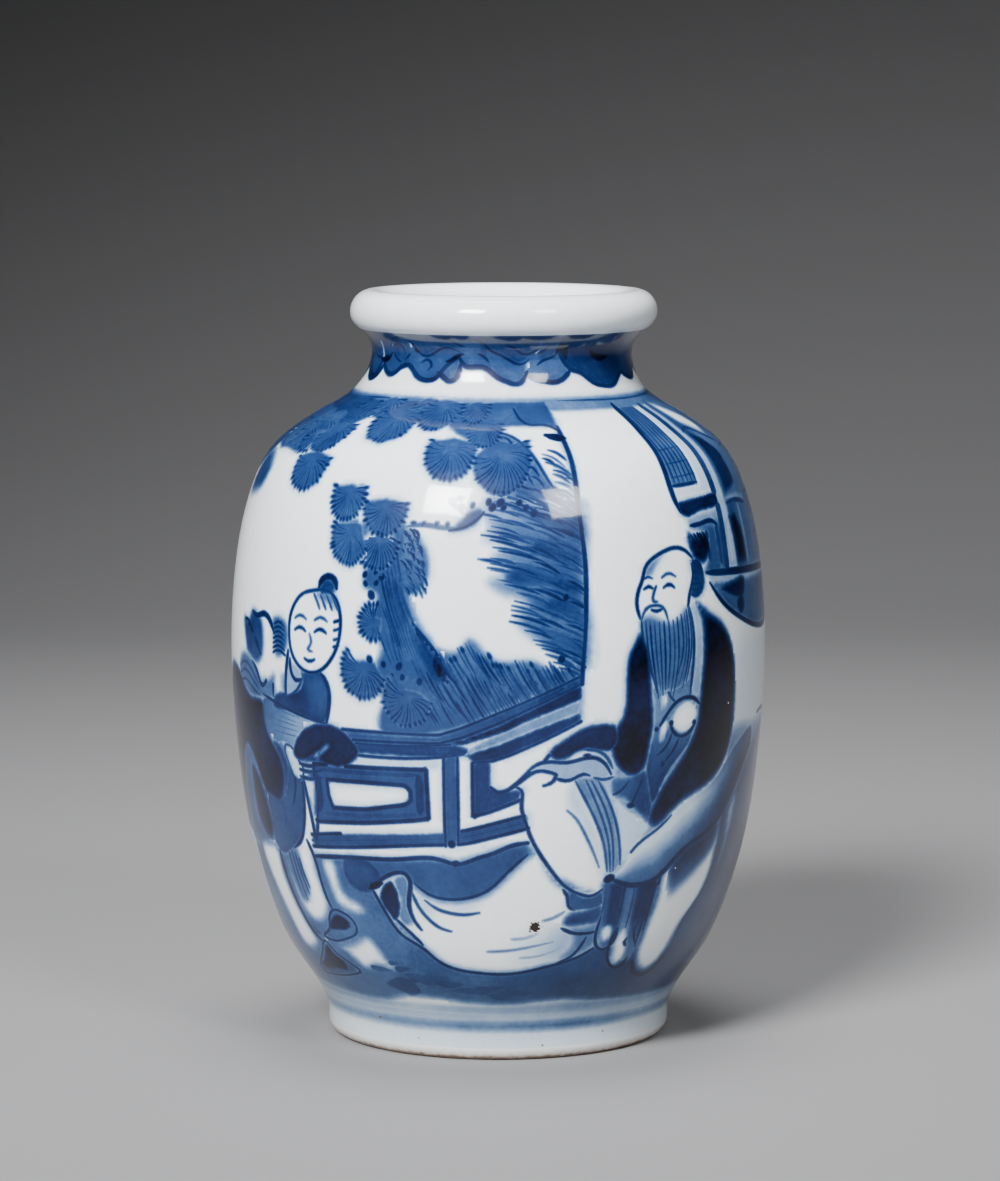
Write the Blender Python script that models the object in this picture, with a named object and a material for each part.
"""A small porcelain bottle: ovoid body, short waisted neck, rolled lip and a turned foot ring.

It was thrown, turned and glazed as one piece, so it is one hollow solid. The solid is a stack of rings
about +Z, from the middle of the base, round the foot, up the outside, over the lip and down the inside.
Lengths are in metres, +Z is up, and the foot stands on z = 0.
"""

import math

import bmesh
import bpy
import numpy as np

HEIGHT = 0.130
WALL = 0.00305

# Foot: a plain upright ring with a softened outer edge, hollowed underneath
FOOT_RADIUS = 0.02986
FOOT_HEIGHT = 0.0047
FOOT_EDGE_RISE = 0.0022
FOOT_EDGE_INSET = 0.0016
FOOT_RING_WIDTH = 0.0026
BASE_RECESS = 0.0033
BASE_THICKNESS = 0.0042
RECESS_ROUNDING = 0.0016

# Belly, as a share of the way from the top of the foot to the waist of the neck
BELLY_RADIUS = 0.04666
BELLY_SHARE = 0.565
FLOOR_ROUNDING = 0.009

# Neck and rolled lip
NECK_RADIUS = 0.0226
NECK_FLARE = 0.0039
LIP_RADIUS = 0.02669
LIP_CROWN = 0.0038
LIP_UNDERSIDE = 0.0033
LIP_TUCK = 0.85

# The neck warped in the kiln: it leans towards +X from the shoulder up
NECK_LEAN = 0.0010
LEAN_START = 0.80

# The thrown curve, as pairs of share of the height and share of the swell. The lower one runs from the
# top of the foot to the belly, and the upper one from the belly to the waist of the neck.
LOWER_CURVE = ((0.03, 0.045), (0.088, 0.175), (0.168, 0.386), (0.289, 0.601), (0.49, 0.822), (0.73, 0.949))
UPPER_CURVE = ((0.17, 0.984), (0.38, 0.927), (0.535, 0.839), (0.638, 0.738), (0.69, 0.652), (0.742, 0.516),
               (0.795, 0.347), (0.848, 0.160), (0.90, 0.060), (0.952, 0.014))

# A ring is laid for each such length of wall, and one more for each such turn of it
SEGMENTS = 64
OUTER_LENGTH = 0.0068
INNER_LENGTH = 0.0140
OUTER_TURN = 15.0
INNER_TURN = 30.0

GLAZE_WHITE = (0.80, 0.84, 0.84, 1.0)


def spline(points, steps=400):
    """Many points along a natural cubic spline through the given ones."""
    knots = np.array(points)
    chord = np.concatenate([[0.0], np.cumsum(np.hypot(*np.diff(knots, axis=0).T))])
    gap = np.diff(chord)
    count = len(knots)
    matrix = np.eye(count)
    change = np.zeros((count, 2))
    for i in range(1, count - 1):
        matrix[i, i - 1 : i + 2] = gap[i - 1], 2 * (gap[i - 1] + gap[i]), gap[i]
        change[i] = 6 * ((knots[i + 1] - knots[i]) / gap[i] - (knots[i] - knots[i - 1]) / gap[i - 1])
    bend = np.linalg.solve(matrix, change)
    along = np.linspace(0.0, chord[-1], steps + 1)
    span = np.clip(np.searchsorted(chord, along, side="right") - 1, 0, count - 2)
    a = ((chord[span + 1] - along) / gap[span])[:, None]
    b = 1.0 - a
    sag = (a**3 - a) * bend[span] + (b**3 - b) * bend[span + 1]
    return a * knots[span] + b * knots[span + 1] + sag * (gap[span] ** 2)[:, None] / 6


def thinned(curve, length, turn):
    """The curve's own ends and the few points between that its length and its turning call for."""
    step = np.diff(curve, axis=0)
    heading = np.unwrap(np.arctan2(step[:, 1], step[:, 0]))
    bends = np.concatenate([[0.0], np.abs(np.diff(heading))])
    effort = np.cumsum(np.hypot(*step.T) / length + np.degrees(bends) / turn)
    effort = np.concatenate([[0.0], effort])
    wanted = np.linspace(0.0, effort[-1], max(2, round(effort[-1])) + 1)
    return np.column_stack([np.interp(wanted, effort, curve[:, 0]), np.interp(wanted, effort, curve[:, 1])])


def arc(centre, radii, start, end, steps):
    """Points on an ellipse from one angle to another, in degrees from the outward direction."""
    angles = np.radians(np.linspace(start, end, steps + 1))
    return np.array(centre) + np.column_stack([radii[0] * np.cos(angles), radii[1] * np.sin(angles)])


def lip_centre():
    """The middle of the rolled lip as (radius, height)."""
    return 0.5 * (LIP_RADIUS + NECK_RADIUS - WALL), HEIGHT - LIP_CROWN


def waist_level():
    """The height of the neck's narrowest place."""
    return lip_centre()[1] - LIP_TUCK * LIP_UNDERSIDE - NECK_FLARE


def foot_outline():
    """From the middle of the base, down the inside of the foot ring and up to the top of the foot."""
    stand_outer = FOOT_RADIUS - FOOT_EDGE_INSET
    stand_inner = stand_outer - FOOT_RING_WIDTH
    corner = (stand_inner - RECESS_ROUNDING, BASE_RECESS - RECESS_ROUNDING)
    hollow = arc(corner, (RECESS_ROUNDING, RECESS_ROUNDING), 90, 0, 3)
    edge = arc((stand_outer, FOOT_EDGE_RISE), (FOOT_EDGE_INSET, FOOT_EDGE_RISE), -90, 0, 4)
    return np.vstack([[(0.0, BASE_RECESS)], hollow, [(stand_inner, 0.0)], edge])


def body_outline():
    """The outer wall from the top of the foot to the underside of the lip, in many points."""
    waist = waist_level()
    belly = FOOT_HEIGHT + BELLY_SHARE * (waist - FOOT_HEIGHT)
    points = [(FOOT_RADIUS, FOOT_HEIGHT)]
    for rise, swell in LOWER_CURVE:
        radius = FOOT_RADIUS + swell * (BELLY_RADIUS - FOOT_RADIUS)
        points.append((radius, FOOT_HEIGHT + rise * (belly - FOOT_HEIGHT)))
    points.append((BELLY_RADIUS, belly))
    for rise, swell in UPPER_CURVE:
        radius = NECK_RADIUS + swell * (BELLY_RADIUS - NECK_RADIUS)
        points.append((radius, belly + rise * (waist - belly)))
    points.append((NECK_RADIUS, waist))
    middle, level = lip_centre()
    tuck = math.sqrt(1 - LIP_TUCK**2) * (LIP_RADIUS - middle)
    flare_end = (middle + tuck, level - LIP_TUCK * LIP_UNDERSIDE)
    points.append((NECK_RADIUS + 0.22 * (flare_end[0] - NECK_RADIUS), waist + 0.48 * NECK_FLARE))
    points.append(flare_end)
    return spline(points)


def lip_outline():
    """The rolled lip, from its underside over the crown to the bore."""
    middle, level = lip_centre()
    half = LIP_RADIUS - middle
    under = arc((middle, level), (half, LIP_UNDERSIDE), -math.degrees(math.asin(LIP_TUCK)), 0, 3)
    over = arc((middle, level), (half, LIP_CROWN), 0, 180, 8)
    return np.vstack([under[1:], over[1:]])


def inner_outline(outer):
    """The inside wall, a wall's thickness in from the outside, from the bore down to the floor's middle."""
    along = np.gradient(outer, axis=0)
    along /= np.hypot(*along.T)[:, None]
    inside = outer - WALL * np.column_stack([along[:, 1], -along[:, 0]])
    floor = BASE_RECESS + BASE_THICKNESS
    wall = inside[(inside[:, 1] < waist_level()) & (inside[:, 1] > floor + FLOOR_ROUNDING)][::-1]
    radius, height = wall[-1]
    cove = arc((radius - FLOOR_ROUNDING, height), (FLOOR_ROUNDING, height - floor), 0, -90, 5)
    return np.vstack([thinned(wall, INNER_LENGTH, INNER_TURN), cove[1:], [(0.0, floor)]])


def bottle_outline():
    """The whole outline, from the middle of the base to the middle of the floor inside."""
    outer = body_outline()
    wall = thinned(outer, OUTER_LENGTH, OUTER_TURN)
    return np.vstack([foot_outline(), wall, lip_outline(), inner_outline(outer)])


def lean_at(height):
    """How far the ring at this height has moved towards +X."""
    start = LEAN_START * HEIGHT
    share = min(1.0, max(0.0, (height - start) / (HEIGHT - start)))
    return NECK_LEAN * share * share * (3 - 2 * share)


def turned_solid(name, outline, material):
    """A closed solid of rings through the outline, whose first and last points are on the axis."""
    mesh = bmesh.new()
    turns = [2 * math.pi * i / SEGMENTS for i in range(SEGMENTS)]
    rings = []
    for radius, height in outline[1:-1]:
        shift = lean_at(height)
        corners = [(shift + radius * math.cos(turn), radius * math.sin(turn), height) for turn in turns]
        rings.append([mesh.verts.new(corner) for corner in corners])
    under = mesh.verts.new((0.0, 0.0, outline[0][1]))
    floor = mesh.verts.new((0.0, 0.0, outline[-1][1]))
    for i in range(SEGMENTS):
        j = (i + 1) % SEGMENTS
        mesh.faces.new((under, rings[0][j], rings[0][i]))
        for low, high in zip(rings, rings[1:]):
            mesh.faces.new((low[i], low[j], high[j], high[i]))
        mesh.faces.new((rings[-1][i], rings[-1][j], floor))
    bmesh.ops.recalc_face_normals(mesh, faces=mesh.faces)
    data = bpy.data.meshes.new(name)
    mesh.to_mesh(data)
    mesh.free()
    data.materials.append(material)
    data.shade_smooth()
    piece = bpy.data.objects.new(name, data)
    bpy.context.scene.collection.objects.link(piece)
    return piece


def glazed_porcelain():
    """Bluish white glaze over porcelain, smooth and glassy."""
    material = bpy.data.materials.new("glazed_porcelain")
    material.use_nodes = True
    shader = material.node_tree.nodes["Principled BSDF"]
    shader.inputs["Base Color"].default_value = GLAZE_WHITE
    shader.inputs["Roughness"].default_value = 0.12
    shader.inputs["Metallic"].default_value = 0.0
    return material


for old in list(bpy.data.objects):
    bpy.data.objects.remove(old)
turned_solid("bottle", bottle_outline(), glazed_porcelain())
